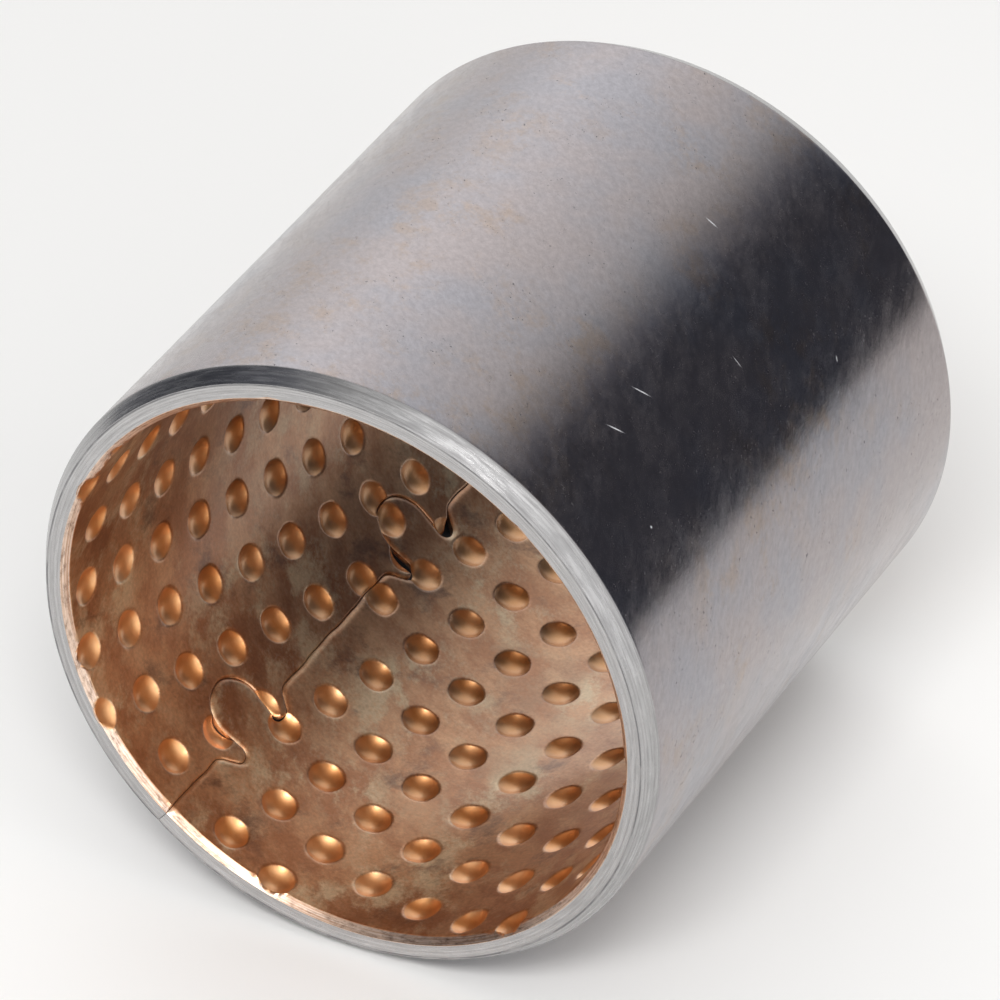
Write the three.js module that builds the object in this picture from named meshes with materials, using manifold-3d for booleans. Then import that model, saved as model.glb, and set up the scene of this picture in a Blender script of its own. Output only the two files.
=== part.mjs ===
// Wrapped bimetal sleeve bushing: 45 mm bore, 50 mm outside, 50 mm long.
//
// A flat strip of steel with a bronze lining is rolled into a ring. Its two ends are clinched
// together along one seam: two round heads on the start end sit in sockets in the finish end.
// Ball-shaped grease pockets, pressed into the lining before rolling, cover the bore.
//
// Millimetres, +Z up. The bushing lies on its side: its axis is +Y and its centre is the origin.

import * as THREE from "three";
import { mergeVertices } from "three/addons/utils/BufferGeometryUtils.js";
import Module from "manifold-3d";

// Sleeve
const OUTER_RADIUS = 25;
const BORE_RADIUS = 22.5;
const LENGTH = 50;
const LINING_THICKNESS = 0.55;
const OUTER_CHAMFER = { radial: 0.8, axial: 1.3 };
const BORE_CHAMFER_AXIAL = 0.75; // cut through the lining and no deeper
const FACETS = 64; // a multiple of 4, so that the sleeve lies on a flat

// Seam, in the plane that touches the sleeve there: u runs round the sleeve, v along it
const SEAM_ANGLE = THREE.MathUtils.degToRad(230.3); // from +X towards +Z
const SEAM_GAP = 0.15;
const HEAD_CENTRES = [-13, 13];
const LEFT = 1; // an arc that turns left as v grows
const RIGHT = -1;
const HALF_HEAD = [
  { u: 1.2, v: -5.4, radius: 1.2, turn: RIGHT }, // fillet at the head's root
  { u: 0.93, v: -3.1, radius: 0.78, turn: LEFT }, // tip of the claw that holds the head
  { u: -1.25, v: 0, radius: 2.55, turn: RIGHT }, // the head itself, up to its furthest point
];
const ARC_STEP = THREE.MathUtils.degToRad(24);
const SEAM_ZONE = 8; // pockets this near to the seam are trimmed by it
const SEAM_REACH = 12; // the blocks that trim them reach this far to each side of it

// Grease pockets, on a square lattice in the flat strip
const POCKET_DIAMETER = 3;
const POCKET_DEPTH = 0.45;
const POCKET_PITCH = 5.27;
const POCKET_TILT = THREE.MathUtils.degToRad(14.57); // of the lattice rows, from the sleeve's axis
const FIRST_POCKET = { s: 3.57, y: -5.77 }; // s is measured round the strip from the seam
const POCKET_SIDES = 8;
const POCKET_OVERRUN = 1.3; // the cutting tool is this much larger, so that it passes the bore

// Worked out from the above
const INTERFACE_RADIUS = BORE_RADIUS + LINING_THICKNESS;
const NEUTRAL_RADIUS = (OUTER_RADIUS + BORE_RADIUS) / 2; // keeps its length when the strip is rolled
const STRIP_LENGTH = 2 * Math.PI * NEUTRAL_RADIUS;
const HALF_LENGTH = LENGTH / 2;
const FLAT_TO_CORNER = 1 / Math.cos(Math.PI / FACETS); // puts the flats on the true circles
const [, CLAW, CROWN] = HALF_HEAD;
const HEAD_REACH = CROWN.radius - CROWN.u; // how far the start end's heads pass the seam
const CLAW_REACH = CLAW.radius + CLAW.u; // how far the finish end's claws pass it
const CUT_PAST = 2; // how far a cutting tool passes the surface that it cuts
const MERGE_WITHIN = 1e-5; // vertices nearer than this are one

const wasm = await Module();
wasm.setup();

// A closed three.js geometry as a solid to cut or join.
function toSolid(geometry) {
  const bare = geometry.clone();
  bare.deleteAttribute("normal");
  bare.deleteAttribute("uv");
  const merged = mergeVertices(bare, MERGE_WITHIN);
  const vertProperties = merged.attributes.position.array;
  const triVerts = new Uint32Array(merged.index.array);
  return new wasm.Manifold(new wasm.Mesh({ numProp: 3, vertProperties, triVerts }));
}

// A solid as a three.js geometry.
function toGeometry(solid) {
  const mesh = solid.getMesh();
  const geometry = new THREE.BufferGeometry();
  geometry.setAttribute("position", new THREE.BufferAttribute(mesh.vertProperties, 3));
  geometry.setIndex(new THREE.BufferAttribute(mesh.triVerts, 1));
  geometry.computeVertexNormals();
  return geometry;
}

// The joined solid of a list of solids.
function joined(solids) {
  return solids.reduce((whole, solid) => whole.add(solid));
}

// A ring round the Y axis. The profile is a list of [radius, y], up the outside and down the inside.
function ring(profile) {
  const closed = [...profile, profile[0]];
  const points = closed.map(([radius, y]) => new THREE.Vector2(radius * FLAT_TO_CORNER, y));
  return toSolid(new THREE.LatheGeometry(points, FACETS, Math.PI / FACETS));
}

// Directions at an angle round the sleeve: outward, and onward round it.
function directionsAt(angle) {
  const outward = new THREE.Vector3(Math.cos(angle), 0, Math.sin(angle));
  const onward = new THREE.Vector3(-Math.sin(angle), 0, Math.cos(angle));
  return { outward, onward };
}

// Both halves of one clinch head as arcs, in the order in which v grows.
function headArcs(centre) {
  const lower = HALF_HEAD.map((arc) => ({ ...arc, v: centre + arc.v }));
  const upper = HALF_HEAD.slice(0, -1).map((arc) => ({ ...arc, v: centre - arc.v }));
  return [...lower, ...upper.reverse()];
}

// The heading of the straight line that leaves one arc and runs into the next.
function headingBetween(from, to) {
  const du = to.u - from.u;
  const dv = to.v - from.v;
  const across = to.turn * to.radius - from.turn * from.radius;
  return Math.atan2(dv, du) - Math.asin(across / Math.hypot(du, dv));
}

// Points along the seam from end to end of the sleeve, moved to its left by the offset.
function seamLine(offset) {
  const start = new THREE.Vector2(-offset, -HALF_LENGTH - CUT_PAST);
  const end = new THREE.Vector2(-offset, HALF_LENGTH + CUT_PAST);
  const points = [start];
  for (const centre of HEAD_CENTRES) {
    const arcs = headArcs(centre).map((arc) => ({ ...arc, radius: arc.radius - arc.turn * offset }));
    arcs.forEach((arc, i) => {
      const entry = i === 0 ? Math.PI / 2 : headingBetween(arcs[i - 1], arc);
      const exit = i === arcs.length - 1 ? Math.PI / 2 : headingBetween(arc, arcs[i + 1]);
      const steps = Math.ceil(Math.abs(exit - entry) / ARC_STEP);
      for (let k = 0; k <= steps; k++) {
        const heading = entry + ((exit - entry) * k) / steps;
        const u = arc.u + arc.turn * arc.radius * Math.sin(heading);
        const v = arc.v - arc.turn * arc.radius * Math.cos(heading);
        points.push(new THREE.Vector2(u, v));
      }
    });
  }
  return [...points, end];
}

// A block through the wall at the seam, with an outline in u and v that stays within SEAM_REACH.
function seamBlock(outline) {
  const boreAtReach = Math.sqrt(BORE_RADIUS ** 2 - SEAM_REACH ** 2);
  const depth = OUTER_RADIUS - boreAtReach + 2 * CUT_PAST;
  const geometry = new THREE.ExtrudeGeometry(new THREE.Shape(outline), { depth, bevelEnabled: false });
  const { outward, onward } = directionsAt(SEAM_ANGLE);
  const place = new THREE.Matrix4();
  place.makeBasis(onward, new THREE.Vector3(0, 1, 0), outward.clone().negate());
  place.setPosition(outward.multiplyScalar(OUTER_RADIUS + CUT_PAST));
  return toSolid(geometry.applyMatrix4(place));
}

// The slit between the two ends of the strip.
function seamSlit() {
  return seamBlock([...seamLine(-SEAM_GAP / 2), ...seamLine(SEAM_GAP / 2).reverse()]);
}

// The part of the wall beside the seam that belongs to one end of the strip: side is 1 for the
// start, -1 for the finish.
function seamSide(side) {
  const line = seamLine(0);
  const corners = [line.at(-1), line[0]].map(({ y }) => new THREE.Vector2(side * SEAM_REACH, y));
  return seamBlock([...line, ...corners]);
}

// The tool that cuts one pocket: a shallow cone with its point at the origin, opening along +Y.
// It has the rim and the depth of the ball's print, with straight sides in place of round ones.
function pocketTool() {
  const profile = [
    new THREE.Vector2(0, 0),
    new THREE.Vector2((POCKET_DIAMETER / 2) * POCKET_OVERRUN, POCKET_DEPTH * POCKET_OVERRUN),
    new THREE.Vector2(0, POCKET_DEPTH * POCKET_OVERRUN),
  ];
  return new THREE.LatheGeometry(profile, POCKET_SIDES);
}

// One pocket at s round the strip and y along the sleeve.
function pocketAt(s, y) {
  const { outward, onward } = directionsAt(SEAM_ANGLE + s / NEUTRAL_RADIUS);
  const place = new THREE.Matrix4();
  place.makeBasis(onward, outward.clone().negate(), new THREE.Vector3(0, -1, 0));
  place.setPosition(outward.multiplyScalar(BORE_RADIUS + POCKET_DEPTH).setY(y));
  return toSolid(pocketTool().applyMatrix4(place));
}

// The centres of all pockets on the strip, and of those that only touch one of its ends.
function pocketCentres() {
  const rim = POCKET_DIAMETER / 2;
  const reach = Math.ceil((STRIP_LENGTH + LENGTH) / POCKET_PITCH);
  const along = Math.cos(POCKET_TILT) * POCKET_PITCH;
  const aside = Math.sin(POCKET_TILT) * POCKET_PITCH;
  const centres = [];
  for (let row = -reach; row <= reach; row++) {
    for (let column = -reach; column <= reach; column++) {
      const s = FIRST_POCKET.s + column * along + row * aside;
      const y = FIRST_POCKET.y - column * aside + row * along;
      const betweenEnds = s > -HEAD_REACH - rim && s < STRIP_LENGTH + CLAW_REACH + rim;
      const betweenFaces = Math.abs(y) < HALF_LENGTH;
      if (betweenEnds && betweenFaces) centres.push({ s, y });
    }
  }
  return centres;
}

// All the pockets as one tool. Those beside the seam are trimmed to the end that they were pressed in.
function pockets() {
  const centres = pocketCentres();
  const cut = (test) => joined(centres.filter(test).map(({ s, y }) => pocketAt(s, y)));
  const start = cut(({ s }) => s < SEAM_ZONE).intersect(seamSide(1));
  const finish = cut(({ s }) => s > STRIP_LENGTH - SEAM_ZONE).intersect(seamSide(-1));
  const middle = cut(({ s }) => s >= SEAM_ZONE && s <= STRIP_LENGTH - SEAM_ZONE);
  return joined([middle, start, finish]);
}

// The steel shell, with a turned chamfer round each outer edge.
function steelBacking() {
  const faceEdge = OUTER_RADIUS - OUTER_CHAMFER.radial;
  const chamferEnd = HALF_LENGTH - OUTER_CHAMFER.axial;
  const shell = ring([
    [INTERFACE_RADIUS, -HALF_LENGTH],
    [faceEdge, -HALF_LENGTH],
    [OUTER_RADIUS, -chamferEnd],
    [OUTER_RADIUS, chamferEnd],
    [faceEdge, HALF_LENGTH],
    [INTERFACE_RADIUS, HALF_LENGTH],
  ]);
  return shell.subtract(seamSlit());
}

// The bronze layer, chamfered at each end and pocketed all round.
function bronzeLining() {
  const chamferEnd = HALF_LENGTH - BORE_CHAMFER_AXIAL;
  const layer = ring([
    [INTERFACE_RADIUS, -HALF_LENGTH],
    [INTERFACE_RADIUS, HALF_LENGTH],
    [BORE_RADIUS, chamferEnd],
    [BORE_RADIUS, -chamferEnd],
  ]);
  return layer.subtract(seamSlit()).subtract(pockets());
}

// One named piece with its own finish.
function piece(name, solid, finish) {
  const mesh = new THREE.Mesh(toGeometry(solid), new THREE.MeshStandardMaterial(finish));
  mesh.name = name;
  return mesh;
}

const bushing = new THREE.Group();
bushing.name = "wrapped_bushing";
bushing.add(
  piece("steel_backing", steelBacking(), { color: "#9a9ca0", roughness: 0.45, metalness: 1 }),
  piece("bronze_lining", bronzeLining(), { color: "#c08a62", roughness: 0.35, metalness: 1 }),
);

export default bushing;
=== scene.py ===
"""A wrapped bimetal sleeve bushing: its fine meshes, its finishes and a plain studio around it.

The bushing is one strip of steel with a bronze lining, rolled into a ring and clinched together
along a seam. Lengths inside the shapes are in millimetres. A mesh is scaled to metres when it is
made.
"""

import logging
import math
from dataclasses import dataclass, field
from enum import Enum, IntEnum

import bpy
import numpy as np
from mathutils import Matrix, Vector
from mathutils.geometry import delaunay_2d_cdt


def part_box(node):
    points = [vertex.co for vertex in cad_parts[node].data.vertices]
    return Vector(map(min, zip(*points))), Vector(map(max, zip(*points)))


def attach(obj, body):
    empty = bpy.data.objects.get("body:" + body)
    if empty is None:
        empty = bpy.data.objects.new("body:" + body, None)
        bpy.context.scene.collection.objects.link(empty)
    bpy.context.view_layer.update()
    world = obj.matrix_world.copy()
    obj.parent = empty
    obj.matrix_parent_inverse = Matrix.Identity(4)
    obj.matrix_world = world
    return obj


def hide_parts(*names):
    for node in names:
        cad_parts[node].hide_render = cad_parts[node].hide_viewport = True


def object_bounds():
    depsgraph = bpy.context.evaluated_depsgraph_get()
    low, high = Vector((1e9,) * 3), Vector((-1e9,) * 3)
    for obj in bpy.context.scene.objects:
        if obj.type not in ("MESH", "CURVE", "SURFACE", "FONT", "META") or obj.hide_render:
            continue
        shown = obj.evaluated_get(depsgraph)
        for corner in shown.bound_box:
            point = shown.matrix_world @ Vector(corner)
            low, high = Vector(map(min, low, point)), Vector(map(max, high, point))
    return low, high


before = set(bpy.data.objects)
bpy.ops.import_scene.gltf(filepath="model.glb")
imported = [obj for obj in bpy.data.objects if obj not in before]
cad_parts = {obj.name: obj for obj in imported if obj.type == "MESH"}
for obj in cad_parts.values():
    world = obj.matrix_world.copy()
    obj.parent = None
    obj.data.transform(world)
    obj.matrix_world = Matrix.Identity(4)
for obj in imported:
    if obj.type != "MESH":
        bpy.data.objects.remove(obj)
CAD_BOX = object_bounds()

LOG = logging.getLogger("bushing")
MM = 0.001
HAIR = 1e-4  # a length too small to matter, in millimetres
TURN_OF_CIRCLE = 2 * math.pi
Colour = tuple[float, float, float, float]
Node = bpy.types.Node
Tree = bpy.types.NodeTree


# ---------------------------------------------------------------------------------------------
# Shape of the strip
# ---------------------------------------------------------------------------------------------


class Turn(Enum):
    """Which way the seam turns on an arc, as it runs from the front face to the back one."""

    LEFT = 1
    RIGHT = -1


class End(Enum):
    """One of the two ends of the rolled strip. The value is its side of the seam."""

    START = 1
    FINISH = -1


@dataclass(frozen=True)
class Arc:
    """An arc of the seam: u is its centre's place across the seam, v along the sleeve."""

    u: float
    v: float
    radius: float
    turn: Turn

    def shifted(self, offset: float) -> "Arc":
        """The same arc, for a line that runs this far to the left of the seam."""
        return Arc(self.u, self.v, self.radius - self.turn.value * offset, self.turn)

    def at(self, heading: float) -> tuple[float, float]:
        """The point of the arc where the seam has this heading, in radians from +u."""
        reach = self.turn.value * self.radius
        return self.u + reach * math.sin(heading), self.v - reach * math.cos(heading)


@dataclass(frozen=True)
class ClawFit:
    """How a claw of the finish end sits in its hollow in the start end.

    Attributes:
        back: how far the claw's tip stays back from the hollow, towards the finish end.
        aside: how far the tip stays away from the head.
        slimmer: how much smaller the tip's radius is than the hollow's.
    """

    back: float = 0.0
    aside: float = 0.0
    slimmer: float = 0.0


@dataclass(frozen=True)
class ClinchHead:
    """One round head of the start end, held by two claws of the finish end.

    Its arcs are given for the back half, from the head's centre. The front half mirrors them.

    Attributes:
        centre: the head's place along the sleeve, from the middle.
        fits: the fit of its front claw and of its back claw.
        fillet: where the seam leaves its straight stretch for the claw.
        claw: the claw's tip, in the hollow at the head's neck.
        crown: the round end of the head.
    """

    centre: float
    fits: tuple[ClawFit, ClawFit] = (ClawFit(), ClawFit())
    fillet: Arc = Arc(1.2, 5.4, 1.2, Turn.RIGHT)
    claw: Arc = Arc(0.93, 3.1, 0.78, Turn.LEFT)
    crown: Arc = Arc(-1.25, 0.0, 2.55, Turn.RIGHT)

    def arcs(self, end: End) -> list[Arc]:
        """The arcs round the head on one end of the strip, from front to back.

        Args:
            end: the end of the strip whose edge is wanted.

        Returns:
            Five arcs, placed from the middle of the sleeve.
        """
        half = []
        for side, fit in zip((-1, 1), self.fits):
            tip = self.claw
            if end is End.FINISH:
                tip = Arc(tip.u - fit.back, tip.v + fit.aside, tip.radius - fit.slimmer, tip.turn)
            half.append([
                Arc(arc.u, self.centre + side * arc.v, arc.radius, arc.turn) for arc in (self.fillet, tip)
            ])
        crown = Arc(self.crown.u, self.centre, self.crown.radius, self.crown.turn)
        return [*half[0], crown, *reversed(half[1])]


@dataclass(frozen=True)
class ClinchSeam:
    """The seam between the two ends of the strip.

    Attributes:
        half_length: half the sleeve's length.
        heads: the round heads along it.
        straight_step: spacing of points on its straight stretches.
        arc_step: largest turn between two points on an arc, in radians.
        waves: height and length of each of the slight waves that shearing left in it.
    """

    half_length: float
    heads: tuple[ClinchHead, ...] = (
        ClinchHead(-13.0, (ClawFit(), ClawFit(0.0, 0.06, 0.06))),
        ClinchHead(13.0, (ClawFit(0.08, 0.22, 0.1), ClawFit(0.36, 0.0, 0.16))),
    )
    straight_step: float = 0.25
    arc_step: float = math.radians(7)
    waves: tuple[tuple[float, float], ...] = ((0.05, 7.0), (0.025, 2.9))

    def edge(self, end: End, inset: float) -> np.ndarray:
        """The edge of one end of the strip, from the front face to the back one.

        Args:
            end: the end of the strip.
            inset: how far into the strip the line runs, from the middle of the seam.

        Returns:
            An (n, 2) array of u and v.
        """
        offset = -end.value * inset
        points = [(-offset, -self.half_length)]
        for head in self.heads:
            arcs = [arc.shifted(offset) for arc in head.arcs(end)]
            headings = [math.pi / 2]
            headings += [self._heading(a, b) for a, b in zip(arcs, arcs[1:])]
            headings += [math.pi / 2]
            for arc, entry, leave in zip(arcs, headings, headings[1:]):
                steps = max(1, math.ceil(abs(leave - entry) / self.arc_step))
                points += [arc.at(entry + (leave - entry) * k / steps) for k in range(steps + 1)]
        points.append((-offset, self.half_length))
        return self._filled(points)

    @staticmethod
    def _heading(a: Arc, b: Arc) -> float:
        """The heading of the straight line that leaves one arc and runs into the next.

        Args:
            a: the arc that it leaves.
            b: the arc that it runs into.

        Returns:
            The heading, in radians from +u.
        """
        du, dv = b.u - a.u, b.v - a.v
        across = b.turn.value * b.radius - a.turn.value * a.radius
        return math.atan2(dv, du) - math.asin(across / math.hypot(du, dv))

    def _filled(self, points: list[tuple[float, float]]) -> np.ndarray:
        """Puts more points between those that are far apart, and lays the waves over them.

        Args:
            points: corners of the line, as u and v.

        Returns:
            An (n, 2) array of u and v.
        """
        filled = [points[0]]
        for a, b in zip(points, points[1:]):
            steps = max(1, round(math.dist(a, b) / self.straight_step))
            filled += [
                (a[0] + (b[0] - a[0]) * k / steps, a[1] + (b[1] - a[1]) * k / steps)
                for k in range(1, steps + 1)
            ]
        line = np.array(filled)
        for height, length in self.waves:
            line[:, 0] += height * np.sin(TURN_OF_CIRCLE * line[:, 1] / length)
        return line


@dataclass(frozen=True)
class PocketPattern:
    """Ball prints pressed into the flat strip on a square lattice, as grease pockets.

    Attributes:
        radius: the print's radius at the surface.
        depth: its depth. It is deeper than the lining, which dents the steel behind it.
        pitch: spacing of the lattice.
        tilt: angle of its rows from the sleeve's axis, in radians.
        first_s: one print's place round the flat strip, from the seam.
        first_y: the same print's place along the sleeve.
        lip: width of the rounded lip round the print.
        wobble: how far a rim strays from a true circle, as a share of its radius.
        bore_rings: rings of mesh points round a print on the bore, as share of the radius and count.
        bond_rings: the same on the bond between lining and steel.
    """

    radius: float = 1.5
    depth: float = 0.58
    pitch: float = 5.27
    tilt: float = math.radians(14.57)
    first_s: float = 3.57
    first_y: float = -5.77
    lip: float = 0.08
    wobble: float = 0.012
    bore_rings: tuple[tuple[float, int], ...] = (
        (1.16, 30), (1.05, 40), (0.99, 44), (0.93, 40), (0.82, 32), (0.66, 24), (0.46, 16), (0.23, 8),
    )
    bond_rings: tuple[tuple[float, int], ...] = ((0.95, 16), (0.72, 14), (0.5, 10), (0.25, 6))

    def centres(self, length: float, half_width: float, margin: float) -> np.ndarray:
        """Every print on a strip.

        Args:
            length: length of the flat strip.
            half_width: half its width.
            margin: how far past the strip's straight outline prints are wanted.

        Returns:
            An (n, 2) array of places round and along the flat strip.
        """
        reach = math.ceil((length + 2 * half_width) / self.pitch)
        row, column = np.meshgrid(np.arange(-reach, reach), np.arange(-reach, reach))
        cosine, sine = self.pitch * math.cos(self.tilt), self.pitch * math.sin(self.tilt)
        s = self.first_s + column * cosine + row * sine
        y = self.first_y - column * sine + row * cosine
        wanted = (s > -margin) & (s < length + margin) & (abs(y) < half_width)
        return np.stack([s[wanted], y[wanted]], axis=1)

    def depth_at(self, gap: np.ndarray, number: int) -> np.ndarray:
        """Depth of one print at points near it, with its lip rounded off.

        Args:
            gap: an (n, 2) array of the points, measured from the print's centre on the flat strip.
            number: the print's number, which decides how its rim wobbles.

        Returns:
            The depth at each point, which is nearly zero outside the print.
        """
        distance = np.hypot(gap[:, 0], gap[:, 1])
        turn = np.arctan2(gap[:, 1], gap[:, 0])
        strays = np.sin(2 * turn + number) + np.sin(5 * turn + 2.3 * number)
        distance = distance * (1 + self.wobble * strays)
        ball = (self.radius**2 + self.depth**2) / (2 * self.depth)
        within_ball = np.minimum(distance, 0.999 * ball)
        print_depth = np.sqrt(ball**2 - within_ball**2) - (ball - self.depth)
        softness = self.lip * self.depth / self.radius
        return 0.5 * (print_depth + np.sqrt(print_depth**2 + softness**2))

    def ringed(
        self, centres: np.ndarray, rings: tuple[tuple[float, int], ...], rolling: float
    ) -> np.ndarray:
        """Mesh points on rings round every print, each print's centre first.

        Args:
            centres: the prints' centres on the rolled bore.
            rings: each ring's share of the radius and its number of points.
            rolling: how much shorter the bore is than the flat strip.

        Returns:
            A (prints, points of one print, 2) array.
        """
        unit = [np.zeros((1, 2))]
        for part, count in rings:
            angle = np.arange(count) * TURN_OF_CIRCLE / count
            unit.append(part * self.radius * np.stack([np.cos(angle), np.sin(angle)], axis=1))
        return centres[:, None, :] + np.concatenate(unit)[None, :, :] * (rolling, 1)


def near_line(points: np.ndarray, line: np.ndarray) -> np.ndarray:
    """The distance from each point to the nearest stretch of a polyline.

    Args:
        points: an (n, 2) array.
        line: an (m, 2) array.

    Returns:
        An array of n distances.
    """
    nearest = np.full(len(points), np.inf)
    for a, b in zip(line, line[1:]):
        along = b - a
        part = np.clip((points - a) @ along / max(float(along @ along), 1e-12), 0, 1)
        gap = points - (a + part[:, None] * along)
        nearest = np.minimum(nearest, np.hypot(gap[:, 0], gap[:, 1]))
    return nearest


def inside(points: np.ndarray, outline: np.ndarray) -> np.ndarray:
    """Which points lie inside a closed outline.

    Args:
        points: an (n, 2) array.
        outline: an (m, 2) array, without its first point again at its end.

    Returns:
        An array of n truth values.
    """
    odd = np.zeros(len(points), bool)
    for (ax, ay), (bx, by) in zip(outline, np.roll(outline, -1, axis=0)):
        if ay == by:
            continue
        crosses = (points[:, 1] < ay) != (points[:, 1] < by)
        odd ^= crosses & (points[:, 0] < ax + (points[:, 1] - ay) * (bx - ax) / (by - ay))
    return odd


@dataclass
class Sleeve:
    """The rolled strip: the sizes that its two layers share, and how a flat point is rolled up.

    A flat place is s, the distance round the bore from the seam, and y, along the sleeve.

    Attributes:
        outer: radius of the outside.
        interface: radius of the bond between lining and steel.
        half_length: half the sleeve's length.
        lining: thickness of the lining.
        firm: how deep a print goes before it dents the bond behind it.
        seam_angle: where the seam lies, in radians from +X towards +Z.
        segments: number of grid columns round the sleeve.
        pockets: the pattern of the grease pockets.
        past_ends: how far past the strip's straight outline its heads and claws can carry prints.
        claw_reach: how far off the finish end's edge a print still marks it.
        seam_zone: how far from the seam points are measured against its edges.
        seam: the seam.
        centres: the centres of the pockets on the strip, in s and y.
    """

    outer: float
    interface: float
    half_length: float
    lining: float = 0.55
    firm: float = 0.38
    seam_angle: float = math.radians(230.3)
    segments: int = 256
    pockets: PocketPattern = PocketPattern()
    past_ends: float = 6.0
    claw_reach: float = 0.9
    seam_zone: float = 8.0
    seam: ClinchSeam = field(init=False)
    centres: np.ndarray = field(init=False)

    def __post_init__(self) -> None:
        """Sets up the seam and the pockets, which follow from the sizes."""
        self.seam = ClinchSeam(self.half_length)
        centres = self.pockets.centres(self.girth / self.rolling, self.half_length, self.past_ends)
        centres = centres * (self.rolling, 1)
        near_claw = self.near_edge(centres, End.FINISH, 0.0) < self.claw_reach
        on_claw = near_claw & (centres[:, 0] > self.girth / 2)
        self.centres = centres[inside(centres, self.outline(0.0)) | on_claw]

    @classmethod
    def from_frame(cls) -> "Sleeve":
        """The sleeve with the radii and the length that the frame's nodes have."""
        steel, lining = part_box("steel_backing"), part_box("bronze_lining")
        return cls(steel[1].x / MM, lining[1].x / MM, steel[1].y / MM)

    @property
    def bore(self) -> float:
        """Radius of the bore."""
        return self.interface - self.lining

    @property
    def girth(self) -> float:
        """Length once round the bore."""
        return TURN_OF_CIRCLE * self.bore

    @property
    def rolling(self) -> float:
        """How much shorter the strip's bore side is when rolled than when flat."""
        return self.bore / ((self.outer + self.bore) / 2)

    def rolled(self, flat: np.ndarray, radius: np.ndarray) -> np.ndarray:
        """Places in space of points on the strip.

        Args:
            flat: an (n, 2) array of s and y.
            radius: the distance of each from the axis.

        Returns:
            An (n, 3) array, in metres.
        """
        angle = self.seam_angle + flat[:, 0] / self.bore
        return MM * np.stack([radius * np.cos(angle), flat[:, 1], radius * np.sin(angle)], axis=1)

    def edges(self, inset: float) -> tuple[np.ndarray, np.ndarray]:
        """The start edge and the finish edge of the strip, each from front to back.

        Args:
            inset: how far both lie from the middle of the seam.

        Returns:
            Two (n, 2) arrays of s and y.
        """
        start = self.seam.edge(End.START, inset)
        finish = self.seam.edge(End.FINISH, inset)
        return start, finish + (self.girth, 0)

    def outline(self, inset: float) -> np.ndarray:
        """The strip's outline, anticlockwise in s and y.

        Args:
            inset: how far its two ends lie from the middle of the seam.

        Returns:
            An (n, 2) array, without the first point again at its end.
        """
        start, finish = self.edges(inset)
        side = np.linspace(inset, self.girth - inset, self.segments + 1)[1:-1]
        front = np.stack([side, np.full_like(side, -self.half_length)], axis=1)
        return np.concatenate([front, finish, front[::-1] * (1, -1), start[::-1]])

    def near_edge(self, flat: np.ndarray, end: End, inset: float) -> np.ndarray:
        """The distance of each flat point from the edge of one end, or infinity where that is far away.

        Args:
            flat: an (n, 2) array of s and y.
            end: the end of the strip.
            inset: how far its edge lies from the middle of the seam.

        Returns:
            An array of distances.
        """
        start, finish = self.edges(inset)
        if end is End.START:
            close, edge = flat[:, 0] < self.seam_zone, start
        else:
            close, edge = flat[:, 0] > self.girth - self.seam_zone, finish
        distance = np.full(len(flat), np.inf)
        distance[close] = near_line(flat[close], edge)
        return distance

    def near_seam(self, flat: np.ndarray, inset: float) -> np.ndarray:
        """The distance of each flat point from the nearer edge at the seam."""
        return np.minimum(*(self.near_edge(flat, end, inset) for end in End))

    def print_at(self, flat: np.ndarray) -> np.ndarray:
        """Depth of the pockets at flat points, and zero between them.

        Args:
            flat: an (n, 2) array of s and y.

        Returns:
            An array of depths.
        """
        depth = np.zeros(len(flat))
        reach = 1.5 * self.pockets.radius
        for number, centre in enumerate(self.centres):
            gap = flat - centre
            close = np.flatnonzero((abs(gap) < reach).all(axis=1))
            print_depth = self.pockets.depth_at(gap[close] / (self.rolling, 1), number)
            depth[close] = np.maximum(depth[close], print_depth)
        return depth

    def bond_at(self, flat: np.ndarray) -> np.ndarray:
        """Radius of the bond at flat points. Each pocket has dented it."""
        return self.interface + np.maximum(self.print_at(flat) - self.firm, 0)

    def grid(self, rows: np.ndarray) -> np.ndarray:
        """Points all round the strip, and a little past its ends for its heads and claws.

        Args:
            rows: where the rows lie along the sleeve.

        Returns:
            An (n, 2) array of s and y.
        """
        before, after = 16, 5
        column = np.arange(-before, self.segments + after)
        s, y = np.meshgrid(column * self.girth / self.segments, rows)
        return np.stack([s.ravel(), y.ravel()], axis=1)


@dataclass
class Facing:
    """One face of a layer, as triangles.

    Attributes:
        flat: an (n, 2) array of the corners' s and y.
        radius: the distance of each corner from the axis.
        triangles: an array of corner triples.
    """

    flat: np.ndarray
    radius: np.ndarray
    triangles: np.ndarray


def tiled(outline: np.ndarray, inner: np.ndarray) -> tuple[np.ndarray, np.ndarray]:
    """Triangles that fill an outline and use the inner points as corners.

    Args:
        outline: an (m, 2) array, anticlockwise.
        inner: an (n, 2) array of points inside it.

    Returns:
        The corners, the outline's first and in its order, and an array of corner triples.
    """
    points = [Vector(point) for point in np.concatenate([outline, inner])]
    count = len(outline)
    ring = list(range(count))
    whole_hull, closest = 0, 1e-5
    corners, _, faces, origins, _, _ = delaunay_2d_cdt(points, [], [ring], whole_hull, closest, True)
    order = np.full(len(corners), -1)
    free = count
    for i, origin in enumerate(origins):
        on_outline = [k for k in origin if k < count]
        if on_outline:
            order[i] = on_outline[0]
        else:
            order[i] = free
            free += 1
    placed = np.zeros((free, 2))
    placed[order] = np.array(corners)
    triangles = order[np.array([f[:] for f in faces])]
    return placed, triangles[inside(placed[triangles].mean(axis=1), outline)]


# ---------------------------------------------------------------------------------------------
# The two layers
# ---------------------------------------------------------------------------------------------


class SteelFace(IntEnum):
    """How a face of the steel backing was made. The value is its material's number."""

    ROLLED = 0
    TURNED = 1
    SHEARED = 2


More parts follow.
